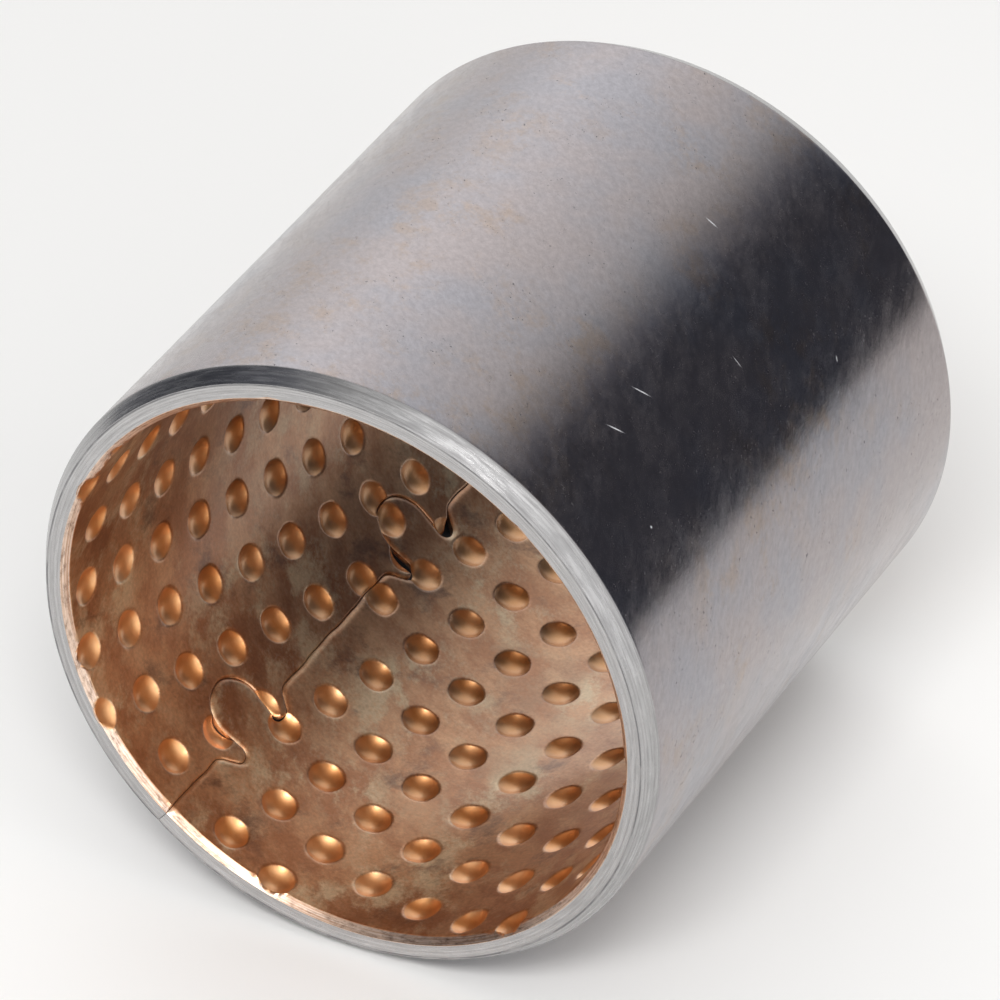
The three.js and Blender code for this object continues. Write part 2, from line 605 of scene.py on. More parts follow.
class BronzeFace(IntEnum):
    """How a face of the bronze lining was made. The value is its material's number."""

    SINTERED = 0
    TURNED = 1


@dataclass(frozen=True)
class Rows:
    """Where the rows of a face's grid lie along the sleeve, alike at both ends.

    Attributes:
        count: how many rows are spread evenly over the middle.
        reach: how far from the middle the last of them lies.
        at_corner: closer rows round the chamfer's corner, measured from it towards the end.
        at_end: closer rows near the end, measured back from it.
    """

    count: int
    reach: float
    at_corner: tuple[float, ...]
    at_end: tuple[float, ...]

    def places(self, corner: float, half_length: float) -> np.ndarray:
        """The rows' places along the sleeve, from front to back.

        Args:
            corner: the place of the chamfer's corner.
            half_length: half the sleeve's length.

        Returns:
            An array of places.
        """
        closer = [corner + gap for gap in self.at_corner] + [half_length - gap for gap in self.at_end]
        even = np.linspace(-self.reach, self.reach, self.count)
        return np.concatenate([np.negative(closer[::-1]), even, closer])


@dataclass
class StripLayer:
    """One bonded layer of the strip, as a closed mesh.

    Attributes:
        sleeve: the sleeve it belongs to.
        opening: half the width of the seam between this layer's two ends.
        rolls: how wide and how deep the edge of each end is rolled over at the seam.
        beside: where rows of points follow the seam, measured from its edges.
        sharp: the angle between two faces from which their edge is drawn sharp.
    """

    sleeve: Sleeve
    opening: float
    rolls: dict[End, tuple[float, float]]
    beside: tuple[float, ...] = (0.045, 0.11, 0.2, 0.33, 0.5)
    sharp: float = math.radians(38)

    def roll_at(self, flat: np.ndarray) -> np.ndarray:
        """How much lower each flat point is because the seam's edges are rolled over.

        Args:
            flat: an (n, 2) array of s and y.

        Returns:
            An array of drops.
        """
        drop = np.zeros(len(flat))
        for end, (width, depth) in self.rolls.items():
            edge = self.sleeve.near_edge(flat, end, self.opening)
            drop += depth * np.clip(1 - edge / width, 0, 1) ** 2
        return drop

    def shell(self, name: str, inner: Facing, outer: Facing, slots: np.ndarray) -> bpy.types.Object:
        """Joins an inner and an outer facing, which have the same outline, into a closed mesh.

        Args:
            name: the object's name.
            inner: the facing towards the axis.
            outer: the facing away from it.
            slots: the material index of each inner triangle, then of each outer one, then of
                each wall face.

        Returns:
            The new object.
        """
        count = len(self.sleeve.outline(self.opening))
        base = len(inner.flat)
        here = np.arange(count)
        onward = np.roll(here, -1)
        walls = np.stack([onward, here, base + here, base + onward], axis=1)
        outside = outer.triangles[:, ::-1] + base
        faces = [*inner.triangles.tolist(), *outside.tolist(), *walls.tolist()]
        flat = np.concatenate([inner.flat, outer.flat])
        radius = np.concatenate([inner.radius, outer.radius])
        mesh = bpy.data.meshes.new(name)
        mesh.from_pydata(self.sleeve.rolled(flat, radius).tolist(), [], faces)
        mesh.attributes.new("strip_mm", "FLOAT_VECTOR", "POINT").data.foreach_set(
            "vector", np.column_stack([flat, radius]).astype(np.float32).ravel()
        )
        mesh.polygons.foreach_set("material_index", slots.astype(np.int32))
        mesh.shade_smooth()
        mesh.set_sharp_from_angle(angle=self.sharp)
        made = bpy.data.objects.new(name, mesh)
        bpy.context.scene.collection.objects.link(made)
        return made

    def bond_facing(self) -> Facing:
        """The layer's face at the bond.

        Returns:
            The face, dented behind the pockets.
        """
        sleeve = self.sleeve
        count, last = 13, sleeve.half_length - 1
        inner = self.facing_points(np.linspace(-last, last, count), sleeve.pockets.bond_rings)
        flat, triangles = tiled(sleeve.outline(self.opening), inner)
        return Facing(flat, sleeve.bond_at(flat), triangles)

    def facing_points(self, rows: np.ndarray, rings: tuple[tuple[float, int], ...] = ()) -> np.ndarray:
        """The inner points of a facing: the pockets' rings, a grid, and rows that follow the seam.

        Args:
            rows: where the grid's rows lie along the sleeve.
            rings: the rings round each pocket, or none on a face without pockets.

        Returns:
            An (n, 2) array of points inside the layer's outline.
        """
        sleeve = self.sleeve
        clear = 1.2 * self.beside[-1]
        points = sleeve.grid(rows)
        points = points[sleeve.near_seam(points, self.opening) > clear]
        if rings:
            spare = 0.1
            widest = max(part for part, _ in rings) * sleeve.pockets.radius
            ringed = sleeve.pockets.ringed(sleeve.centres, rings, sleeve.rolling)
            covered = self._covered(points, sleeve.centres, widest + spare)
            points = np.concatenate([ringed.reshape(-1, 2), points[~covered]])
        along_seam = [line for gap in self.beside for line in sleeve.edges(self.opening + gap)]
        points = np.concatenate([points, *along_seam])
        least = 0.9 * self.beside[0]
        points = points[sleeve.near_seam(points, self.opening) > least]
        points = points[abs(points[:, 1]) < sleeve.half_length - HAIR]
        return points[inside(points, sleeve.outline(self.opening))]

    @staticmethod
    def _covered(points: np.ndarray, centres: np.ndarray, reach: float) -> np.ndarray:
        """Which points lie near a centre.

        Args:
            points: an (n, 2) array.
            centres: an (m, 2) array.
            reach: how near that is.

        Returns:
            An array of n truth values.
        """
        covered = np.zeros(len(points), bool)
        for centre in centres:
            gap = points - centre
            covered |= np.hypot(gap[:, 0], gap[:, 1]) < reach
        return covered


def rounded_step(distance: np.ndarray, slope: float, softness: float) -> np.ndarray:
    """A ramp that starts at zero distance and rises by the slope, with its corner rounded."""
    height = distance * slope
    return 0.5 * (height + np.sqrt(height**2 + softness**2))


@dataclass
class SteelShell(StripLayer):
    """The steel backing: rolled outside, turned chamfers and end faces, sheared seam walls.

    Attributes:
        rows: where the rows of points lie on the outside.
        chamfer_radial: how much smaller the chamfer makes the radius.
        chamfer_axial: the chamfer's length along the sleeve.
        corner: how softly the outside turns into the chamfer.
    """

    opening: float = 0.02
    rolls: dict[End, tuple[float, float]] = field(
        default_factory=lambda: {End.START: (0.16, 0.06), End.FINISH: (0.12, 0.05)}
    )
    rows: Rows = Rows(23, 22.0, (-0.25, -0.1, 0.0, 0.1, 0.25), (0.45, 0.06))
    chamfer_radial: float = 0.8
    chamfer_axial: float = 1.3
    corner: float = 0.06

    def outer_radius_at(self, flat: np.ndarray) -> np.ndarray:
        """Radius of the outside at flat points, with chamfered ends and rounded seam edges.

        Args:
            flat: an (n, 2) array of s and y.

        Returns:
            An array of radii.
        """
        past = abs(flat[:, 1]) - (self.sleeve.half_length - self.chamfer_axial)
        cut = rounded_step(past, self.chamfer_radial / self.chamfer_axial, self.corner)
        return self.sleeve.outer - cut - self.roll_at(flat)

    def build(self) -> bpy.types.Object:
        """Makes the steel backing and dresses it.

        Returns:
            The new object.
        """
        sleeve = self.sleeve
        corner = sleeve.half_length - self.chamfer_axial
        outline = sleeve.outline(self.opening)
        flat, tiles = tiled(outline, self.facing_points(self.rows.places(corner, sleeve.half_length)))
        inner, outer = self.bond_facing(), Facing(flat, self.outer_radius_at(flat), tiles)
        on_chamfer = abs(flat[tiles][:, :, 1].mean(axis=1)) > corner
        slots = np.concatenate([
            np.full(len(inner.triangles), SteelFace.SHEARED),
            np.where(on_chamfer, SteelFace.TURNED, SteelFace.ROLLED),
            np.where(self._on_end_face(outline), SteelFace.TURNED, SteelFace.SHEARED),
        ])
        made = self.shell("steel_shell", inner, outer, slots)
        for finish in (RolledSteel(), TurnedSteel(), ShearedSteel()):
            made.data.materials.append(finish.material())
        return made

    def _on_end_face(self, outline: np.ndarray) -> np.ndarray:
        """Which walls belong to an end face, and not to the seam.

        Args:
            outline: an (n, 2) array of s and y, each the start of one wall.

        Returns:
            An array of n truth values.
        """
        half = self.sleeve.half_length - HAIR
        onward = np.roll(outline, -1, axis=0)
        return (abs(outline[:, 1]) > half) & (abs(onward[:, 1]) > half)


@dataclass
class BronzeLiner(StripLayer):
    """The bronze lining: pressed with grease pockets all over, chamfered at its ends.

    Attributes:
        rows: where the rows of points lie in the bore.
        chamfer_axial: the chamfer's length along the sleeve.
        face_rim: thickness of bronze that is left at the end face and under a pocket.
        corner: how softly the bore turns into the chamfer.
        print_from: share of a pocket's full depth from which a point belongs to the pocket.
    """

    opening: float = 0.025
    rolls: dict[End, tuple[float, float]] = field(
        default_factory=lambda: {End.START: (0.45, 0.16), End.FINISH: (0.2, 0.15)}
    )
    rows: Rows = Rows(60, 23.6, (-0.18, -0.06, 0.0, 0.06, 0.2), (0.15, 0.05))
    chamfer_axial: float = 0.5
    face_rim: float = 0.04
    corner: float = 0.04
    print_from: float = 0.02

    def depth_and_share(self, flat: np.ndarray) -> tuple[np.ndarray, np.ndarray]:
        """How far the bore's surface lies outside the bore radius, and how far into a pocket.

        Args:
            flat: an (n, 2) array of s and y.

        Returns:
            The depths, and the share of the pocket's full depth.
        """
        sleeve = self.sleeve
        pocket = sleeve.print_at(flat)
        past = abs(flat[:, 1]) - (sleeve.half_length - self.chamfer_axial)
        slope = (sleeve.lining - self.face_rim) / self.chamfer_axial
        chamfer = rounded_step(past, slope, self.corner)
        most = sleeve.bond_at(flat) - sleeve.bore - self.face_rim
        depth = np.minimum(np.maximum(pocket, chamfer) + self.roll_at(flat), most)
        share = np.where(pocket >= chamfer, np.clip(pocket / sleeve.pockets.depth, 0, 1), 0)
        return depth, share

    def build(self) -> bpy.types.Object:
        """Makes the bronze lining and dresses it.

        Each point of the bore carries its share of a pocket's depth and whether the chamfering
        tool cut it, which the finish reads.

        Returns:
            The new object.
        """
        sleeve = self.sleeve
        corner = sleeve.half_length - self.chamfer_axial
        outline = sleeve.outline(self.opening)
        rows = self.rows.places(corner, sleeve.half_length)
        flat, tiles = tiled(outline, self.facing_points(rows, sleeve.pockets.bore_rings))
        depth, share = self.depth_and_share(flat)
        inner, outer = Facing(flat, sleeve.bore + depth, tiles), self.bond_facing()
        slots = np.repeat(
            [BronzeFace.SINTERED, BronzeFace.TURNED], [len(tiles), len(outer.triangles) + len(outline)]
        )
        made = self.shell("bronze_liner", inner, outer, slots)
        cut = np.clip((abs(flat[:, 1]) - corner) / self.corner, 0, 1) * (share < self.print_from)
        for name, values in (("pocket", share), ("turned", cut)):
            both = np.concatenate([values, np.zeros(len(outer.flat))]).astype(np.float32)
            made.data.attributes.new(name, "FLOAT", "POINT").data.foreach_set("value", both)
        for finish in (SinteredBronze(), TurnedBronze()):
            made.data.materials.append(finish.material())
        return made


# ---------------------------------------------------------------------------------------------
# Finishes
# ---------------------------------------------------------------------------------------------


def linear(hex_code: str) -> Colour:
    """An sRGB hex colour as linear light, with full alpha.

    Args:
        hex_code: the colour, with or without its number sign.

    Returns:
        Red, green, blue and alpha.
    """
    parts = [int(hex_code.lstrip("#")[k : k + 2], 16) / 255 for k in (0, 2, 4)]
    light = [c / 12.92 if c <= 0.04045 else ((c + 0.055) / 1.055) ** 2.4 for c in parts]
    return (*light, 1.0)


def feed(tree: Tree, node: Node, inputs: dict) -> None:
    """Gives a node its inputs.

    Args:
        tree: the node tree.
        node: the node.
        inputs: a value, an output or another node for each input, by name or number. A node
            stands for the first of its outputs that is in use.
    """
    for key, given in inputs.items():
        if isinstance(given, Node):
            given = next(output for output in given.outputs if output.enabled)
        if isinstance(given, bpy.types.NodeSocket):
            tree.links.new(given, node.inputs[key])
        else:
            node.inputs[key].default_value = given


def add(tree: Tree, kind: str, settings: dict | None = None, inputs: dict | None = None) -> Node:
    """Adds a node to a tree.

    Args:
        tree: the node tree.
        kind: the node's type name.
        settings: properties of the node, by name.
        inputs: its inputs, as feed takes them.

    Returns:
        The new node.
    """
    made = tree.nodes.new(kind)
    for name, value in (settings or {}).items():
        setattr(made, name, value)
    feed(tree, made, inputs or {})
    return made


# A smooth step: as value 0 goes from 1 to 2, the result goes from 3 to 4, or else from 0 to 1.
STEP = ("ShaderNodeMapRange", {"interpolation_type": "SMOOTHSTEP"})
# A colour that goes from 6 to 7 as the share 0 goes from 0 to 1.
MIX = ("ShaderNodeMix", {"data_type": "RGBA"})
# The colour 6 made brighter or darker by the tone 7, where the share 0 is 1.
SHADE = ("ShaderNodeMix", {"data_type": "RGBA", "blend_type": "MULTIPLY"})
# A number that goes from 2 to 3 as the share 0 goes from 0 to 1.
BETWEEN = ("ShaderNodeMix", {"data_type": "FLOAT"})
# The product of 0 and 1.
TIMES = ("ShaderNodeMath", {"operation": "MULTIPLY"})
# The sum of 0 and 1.
PLUS = ("ShaderNodeMath", {"operation": "ADD"})


class Finish:
    """A finish: a Principled surface, of metal unless its subclass says otherwise."""

    name = "finish"

    def material(self) -> bpy.types.Material:
        """Makes the material.

        Returns:
            The new material.
        """
        made = bpy.data.materials.new(self.name)
        made.use_nodes = True
        made.node_tree.nodes.clear()
        surface = add(made.node_tree, "ShaderNodeBsdfPrincipled", inputs={"Metallic": 1.0})
        add(made.node_tree, "ShaderNodeOutputMaterial", inputs={"Surface": surface})
        self.dress(made.node_tree, surface)
        return made

    def dress(self, tree: Tree, surface: Node) -> None:
        """Draws the finish on the surface node."""
        raise NotImplementedError

    @staticmethod
    def place(tree: Tree) -> bpy.types.NodeSocket:
        """Places on the flat strip, in millimetres: round it, along it and through it."""
        return add(tree, "ShaderNodeAttribute", {"attribute_name": "strip_mm"}).outputs["Vector"]

    @staticmethod
    def blots(
        tree: Tree,
        place: bpy.types.NodeSocket,
        size_mm: tuple[float, float, float],
        detail: float,
        fineness: float,
        turned: float = 0.0,
    ) -> Node:
        """Cloudy blots of a given size.

        Args:
            tree: the node tree.
            place: places in millimetres.
            size_mm: the size of a blot along its own first and second direction and through the
                strip.
            detail: how many times finer blots are added.
            fineness: how strong each finer kind is.
            turned: angle by which the first direction is turned in the strip, in radians.

        Returns:
            The blots, mostly between 0.25 and 0.75.
        """
        scale = tuple(1 / size for size in size_mm)
        spun = add(tree, "ShaderNodeMapping", {}, {"Vector": place, "Rotation": (0.0, 0.0, turned)})
        scaled = add(tree, "ShaderNodeMapping", {}, {"Vector": spun, "Scale": scale})
        settings = {"Scale": 1.0, "Detail": detail, "Roughness": fineness}
        return add(tree, "ShaderNodeTexNoise", {}, {"Vector": scaled, **settings})


@dataclass(frozen=True)
class Scratch:
    """A short bright scratch on the rolled steel.

    Attributes:
        s: its middle's place round the flat strip, in millimetres.
        y: its middle's place along the sleeve.
        length: its length.
        angle: its direction, from the s axis towards y, in radians.
        width: its width.
    """

    s: float
    y: float
    length: float
    angle: float
    width: float = 0.17

    def mask(self, tree: Tree, place: bpy.types.NodeSocket) -> Node:
        """A value that is 1 on the scratch's middle and 0 off it.

        Args:
            tree: the node tree.
            place: places in millimetres.

        Returns:
            The value.
        """
        middle = (self.s, self.y, 0.0)
        back = (0.0, 0.0, -self.angle)
        scale = (2 / self.length, 2 / self.width, 0.0)
        moved = add(tree, "ShaderNodeVectorMath", {"operation": "SUBTRACT"}, {0: place, 1: middle})
        spun = add(tree, "ShaderNodeMapping", {}, {"Vector": moved, "Rotation": back})
        scaled = add(tree, "ShaderNodeMapping", {}, {"Vector": spun, "Scale": scale})
        reach = add(tree, "ShaderNodeVectorMath", {"operation": "LENGTH"}, {0: scaled})
        return add(tree, *STEP, {0: reach, 1: 1.0, 2: 0.35})


@dataclass(frozen=True)
class RolledSteel(Finish):
    """Cold-rolled low-carbon steel, bare and lightly oiled: a glossy grey, clouded with blue and
    beige stains, dulled by scuffs, with dark flecks and a few bright handling scratches.

    Attributes:
        grain_turn: direction of the rolled grain on the strip, in radians.
        spot_roughness: how much rougher a fleck or a scratch is than the steel round it.
        scratches: the handling scratches.
    """

    name = "rolled_bare_steel"
    grain_turn: float = math.radians(-48)
    spot_roughness: float = 0.42
    scratches: tuple[Scratch, ...] = (
        Scratch(75.21, 9.69, 1.3, math.radians(5)),
        Scratch(71.27, -8.48, 1.9, math.radians(-27)),
        Scratch(70.9, -13.04, 1.9, math.radians(-31)),
        Scratch(67.9, 1.2, 1.2, 0.0, 0.08),
        Scratch(62.85, 10.73, 0.6, math.radians(28), 0.16),
        Scratch(64.91, -16.35, 0.26, 0.0, 0.26),
        Scratch(31.0, -12.5, 2.1, math.radians(64)),
        Scratch(118.0, 14.0, 1.6, math.radians(20)),
    )

    def dress(self, tree: Tree, surface: Node) -> None:
        """Draws stains, rolled grain, flecks, scuffs and scratches on the surface node.

        The real grain and flecks are a few hundredths of a millimetre wide, too fine to show.
        They are drawn about ten times as coarse.

        Args:
            tree: the material's node tree.
            surface: its surface node.
        """
        place = self.place(tree)
        cloud = self.blots(tree, place, (13.0, 13.0, 13.0), 4.0, 0.6)
        patch = self.blots(tree, place, (15.0, 11.0, 15.0), 2.0, 0.5, 1.9)
        stain = self.blots(tree, place, (3.6, 2.8, 3.0), 9.0, 0.72, self.grain_turn)
        scuff = self.blots(tree, place, (1.4, 3.4, 2.0), 9.0, 0.74, 0.5)
        grain = self.blots(tree, place, (0.7, 0.42, 0.5), 7.0, 0.8, self.grain_turn)
        fleck = self.blots(tree, place, (0.34, 0.22, 0.3), 3.0, 0.6, self.grain_turn)
        blue = add(tree, *STEP, {0: cloud, 1: 0.4, 2: 0.64})
        base = add(tree, *MIX, {0: blue, 6: linear("#a49c9c"), 7: linear("#9c9a9f")})
        stains = add(tree, *STEP, {0: stain, 1: 0.47, 2: 0.66})
        patches = add(tree, *STEP, {0: patch, 1: 0.4, 2: 0.6, 3: 0.1, 4: 0.8})
        stained = add(tree, *TIMES, {0: stains, 1: patches})
        warm = add(tree, *MIX, {0: stained, 6: base, 7: linear("#a3948a")})
        tone = add(tree, *STEP, {0: grain, 1: 0.28, 2: 0.72, 3: 0.86, 4: 1.12})
        mottled = add(tree, *SHADE, {0: 1.0, 6: warm, 7: tone})
        dots = add(tree, *STEP, {0: fleck, 1: 0.64, 2: 0.74})
        gathered = add(tree, *STEP, {0: stain, 1: 0.42, 2: 0.62})
        flecks = add(tree, *TIMES, {0: dots, 1: gathered})
        flecked = add(tree, *MIX, {0: flecks, 6: mottled, 7: linear("#5a5a60")})
        marks = self.scratches[0].mask(tree, place)
        for scratch in self.scratches[1:]:
            marks = add(tree, *PLUS, {0: marks, 1: scratch.mask(tree, place)})
        scratched = add(tree, *MIX, {0: marks, 6: flecked, 7: linear("#f4f4f6")})
        scuffed = add(tree, *STEP, {0: scuff, 1: 0.36, 2: 0.66, 3: 0.15, 4: 0.27})
        spots = add(tree, "ShaderNodeMath", {"operation": "MAXIMUM"}, {0: marks, 1: flecks})
        rougher = add(tree, *TIMES, {0: spots, 1: self.spot_roughness})
        rough = add(tree, *PLUS, {0: rougher, 1: scuffed})
        relief = add(tree, "ShaderNodeBump", {}, {"Height": grain, "Distance": 0.006 * MM})
        feed(tree, surface, {"Base Color": scratched, "Roughness": rough, "Normal": relief})


@dataclass(frozen=True)
class TurnedSteel(Finish):
    """Steel faced and chamfered on a lathe: a brighter grey with rings cut by the tool, a broken
    dark ring of oil caught where the face meets the chamfer, a stretch below the seam drawn paler
    as painted light, and the chamfer drawn a little darker than the face as painted shade.

    Attributes:
        corner_radius: radius where the end face meets the chamfer, in millimetres.
        painted_light_stretch: where round the strip the painted light starts to draw the face paler, and
            where it is palest.
    """

    name = "lathe_turned_steel"
    corner_radius: float = 24.2
    painted_light_stretch: tuple[float, float] = (38.0, 22.0)

    def dress(self, tree: Tree, surface: Node) -> None:
        """Draws the tool's rings, the oily corner, the painted light below the seam and the painted shade
        on the chamfer on the surface node.

        A real tool leaves rings about 0.05 mm apart, too fine to show. They are drawn about three
        times as coarse.

        Args:
            tree: the material's node tree.
            surface: its surface node.
        """
        place = self.place(tree)
        round_strip, _, radius = add(tree, "ShaderNodeSeparateXYZ", {}, {0: place}).outputs
        ring = self.blots(tree, place, (45.0, 0.16, 0.1), 3.0, 0.6)
        patch = self.blots(tree, place, (2.4, 0.5, 0.22), 4.0, 0.65)
        corner = self.corner_radius
        begin, palest = self.painted_light_stretch
        ringed = add(tree, *STEP, {0: ring, 1: 0.3, 2: 0.7})
        base = add(tree, *MIX, {0: ringed, 6: linear("#adabab"), 7: linear("#c3c2c2")})
        patches = add(tree, *STEP, {0: patch, 1: 0.25, 2: 0.75, 3: 0.82, 4: 1.12})
        # Painted light: the turned faces below the seam are drawn up to 15% brighter.
        paler = add(tree, *STEP, {0: round_strip, 1: begin, 2: palest, 3: 1.0, 4: 1.15})
        # Painted shade: the chamfer is drawn 12% darker than the end face.
        chamfer = add(tree, *STEP, {0: radius, 1: corner - 0.04, 2: corner + 0.1, 3: 1.0, 4: 0.88})
        patches_painted_light_and_shade = add(tree, *TIMES, {0: add(tree, *TIMES, {0: patches, 1: paler}), 1: chamfer})
        toned = add(tree, *SHADE, {0: 1.0, 6: base, 7: patches_painted_light_and_shade})
        inward = add(tree, *STEP, {0: radius, 1: corner - 0.22, 2: corner - 0.1})
        outward = add(tree, *STEP, {0: radius, 1: corner + 0.02, 2: corner - 0.07})
        broken = add(tree, *STEP, {0: patch, 1: 0.36, 2: 0.56, 3: 0.1, 4: 0.75})
        oil = add(tree, *TIMES, {0: add(tree, *TIMES, {0: inward, 1: outward}), 1: broken})
        oily = add(tree, *MIX, {0: oil, 6: toned, 7: linear("#5d5d60")})
        rough = add(tree, *STEP, {0: patch, 1: 0.3, 2: 0.7, 3: 0.2, 4: 0.32})
        height = add(tree, *PLUS, {0: ring, 1: patch})
        relief = add(tree, "ShaderNodeBump", {}, {"Height": height, "Distance": 0.008 * MM})
        feed(tree, surface, {"Base Color": oily, "Roughness": rough, "Normal": relief})


class ShearedSteel(Finish):
    """The sheared edges and the bonded side of the steel: dull and dark, as no tool finished
    them."""

    name = "sheared_steel"

    def dress(self, tree: Tree, surface: Node) -> None:
        """Draws the dull sheared edge on the surface node.

        Args:
            tree: the material's node tree.
            surface: its surface node.
        """
        tears = self.blots(tree, self.place(tree), (0.2, 0.2, 1.5), 2.0, 0.5)
        tone = add(tree, *MIX, {0: tears, 6: linear("#55565a"), 7: linear("#77787c")})
        feed(tree, surface, {"Base Color": tone, "Roughness": 0.5})


@dataclass(frozen=True)
class SinteredBronze(Finish):
    """Tin bronze sintered on to the strip, rolled and oiled: satin brown lands with cream smears
    and sooty stains. Painted light and painted shade draw it brighter at the front of the bore
    and darker deep inside. The ball has burnished each pocket to a glossy orange gold.

    Attributes:
        painted_light_front: the place along the sleeve up to which the bronze is drawn brighter as painted
            light, and how bright.
        deep: the place from which it is drawn darker as painted shade, and how dark.
    """

    name = "sintered_tin_bronze"
    painted_light_front: tuple[float, float] = (-19.0, 1.25)
    deep: tuple[float, float] = (5.0, 0.8)

    def dress(self, tree: Tree, surface: Node) -> None:
        """Draws the smeared lands, the burnished pockets, the cut chamfer and the painted light and shade
        along the bore on the surface node.

        The sintered grains are about 0.1 mm wide, too fine to show. They are drawn three times as
        coarse.

        Args:
            tree: the material's node tree.
            surface: its surface node.
        """
        place = self.place(tree)
        smear = self.blots(tree, place, (5.5, 3.6, 4.0), 8.0, 0.66, 0.5)
        pale = self.blots(tree, place, (3.4, 5.2, 4.0), 9.0, 0.72, -0.6)
        patch = self.blots(tree, place, (11.0, 11.0, 11.0), 2.0, 0.5)
        soot = self.blots(tree, place, (5.2, 3.8, 4.0), 7.0, 0.68, 2.2)
        grain = self.blots(tree, place, (0.3, 0.3, 0.3), 4.0, 0.6)
        browns = add(tree, *STEP, {0: smear, 1: 0.38, 2: 0.62})
        land = add(tree, *MIX, {0: browns, 6: linear("#ad7750"), 7: linear("#cb9c74")})
        smears = add(tree, *STEP, {0: pale, 1: 0.46, 2: 0.62, 3: 0.0, 4: 0.85})
        patches = add(tree, *STEP, {0: patch, 1: 0.4, 2: 0.58, 3: 0.2, 4: 1.0})
        cream = add(tree, *TIMES, {0: smears, 1: patches})
        creamy = add(tree, *MIX, {0: cream, 6: land, 7: linear("#dcc7a4")})
        stains = add(tree, *STEP, {0: soot, 1: 0.52, 2: 0.7, 3: 0.0, 4: 0.75})
        sooty = add(tree, *MIX, {0: stains, 6: creamy, 7: linear("#735341")})
        grains = add(tree, *STEP, {0: grain, 1: 0.25, 2: 0.75, 3: 0.88, 4: 1.12})
        grained = add(tree, *SHADE, {0: 1.0, 6: sooty, 7: grains})
        golds = add(tree, *STEP, {0: smear, 1: 0.35, 2: 0.65})
        gold = add(tree, *MIX, {0: golds, 6: linear("#d99b5e"), 7: linear("#e4b07c")})
        depth = add(tree, "ShaderNodeAttribute", {"attribute_name": "pocket"}).outputs["Fac"]
        pocket = add(tree, *STEP, {0: depth, 1: 0.02, 2: 0.22})
        pressed = add(tree, *MIX, {0: pocket, 6: grained, 7: gold})
        # Painted light and painted shade: the bronze is drawn up to a quarter brighter near the front end
        # and a fifth darker deep in the bore.
        (front, bright), (back, dark) = self.painted_light_front, self.deep
        along = add(tree, "ShaderNodeSeparateXYZ", {}, {0: place}).outputs["Y"]
        deeper = add(tree, *STEP, {0: along, 1: front, 2: back, 3: bright, 4: dark})
        with_painted_light = add(tree, *SHADE, {0: 1.0, 6: pressed, 7: deeper})
        turned = add(tree, "ShaderNodeAttribute", {"attribute_name": "turned"}).outputs["Fac"]
        whole = add(tree, *MIX, {0: turned, 6: with_painted_light, 7: TurnedBronze.tone(tree, place)})
        dull = add(tree, *STEP, {0: pale, 1: 0.35, 2: 0.7, 3: 0.36, 4: 0.48})
        rough = add(tree, *BETWEEN, {0: pocket, 2: dull, 3: 0.4})
        calm = add(tree, *BETWEEN, {0: pocket, 2: 1.0, 3: 0.25})
        height = add(tree, *TIMES, {0: grain, 1: calm})
        relief = add(tree, "ShaderNodeBump", {}, {"Height": height, "Distance": 0.012 * MM})
        feed(tree, surface, {"Base Color": whole, "Roughness": rough, "Normal": relief})
        # The film of oil is a clear coat over the bronze, which gives it broad soft highlights.
        feed(tree, surface, {"Coat Weight": 1.0, "Coat Roughness": 0.24})


class TurnedBronze(Finish):
    """Bronze cut by a chamfering tool: pale, bright copper with fine rings, broken by dark pits."""

    name = "lathe_turned_bronze"

    def dress(self, tree: Tree, surface: Node) -> None:
        """Draws the chamfer's rings and pits on the surface node."""
        feed(tree, surface, {"Base Color": self.tone(tree, self.place(tree)), "Roughness": 0.34})

    @classmethod
    def tone(cls, tree: Tree, place: bpy.types.NodeSocket) -> Node:
        """The cut bronze's colour: the tool's rings, drawn twice as coarse as real, and pits.

        Args:
            tree: the node tree.
            place: places in millimetres.

        Returns:
            The colour.
        """
        ring = cls.blots(tree, place, (12.0, 0.12, 0.12), 4.0, 0.6)
        pit = cls.blots(tree, place, (0.9, 0.3, 0.3), 6.0, 0.75)
        rings = add(tree, *STEP, {0: ring, 1: 0.3, 2: 0.7})
        ringed = add(tree, *MIX, {0: rings, 6: linear("#bf9578"), 7: linear("#efdac8")})
        pits = add(tree, *STEP, {0: pit, 1: 0.42, 2: 0.78})
        return add(tree, *MIX, {0: pits, 6: ringed, 7: linear("#6f4f3b")})


class PaleBoard(Finish):
    """White studio board: a smooth matt sheet that the bushing lies on."""

    name = "white_studio_board"

    def dress(self, tree: Tree, surface: Node) -> None:
        """Draws the matt board on the surface node."""
        feed(tree, surface, {"Base Color": linear("#f4f3f1"), "Metallic": 0.0, "Roughness": 0.7})


# ---------------------------------------------------------------------------------------------
# Studio
# ---------------------------------------------------------------------------------------------


@dataclass(frozen=True)
class Softbox:
    """A rectangular soft light that faces the bushing.

    Attributes:
        name: the light's name.
        towards: direction from the bushing to the light.
        distance: how far away it is, in metres.
        size: its width and height, in metres.
        watts: its power.
    """

    name: str
    towards: tuple[float, float, float]
    distance: float
    size: tuple[float, float]
    watts: float

    def build(self) -> None:
        """Makes the light."""
        lamp = bpy.data.lights.new(self.name, "AREA")
        lamp.shape = "RECTANGLE"
        lamp.size, lamp.size_y = self.size
        lamp.energy = self.watts
        made = bpy.data.objects.new(self.name, lamp)
        direction = Vector(self.towards).normalized()
        made.location = direction * self.distance
        made.rotation_euler = direction.to_track_quat("Z", "Y").to_euler()
        made.visible_camera = False
        bpy.context.scene.collection.objects.link(made)


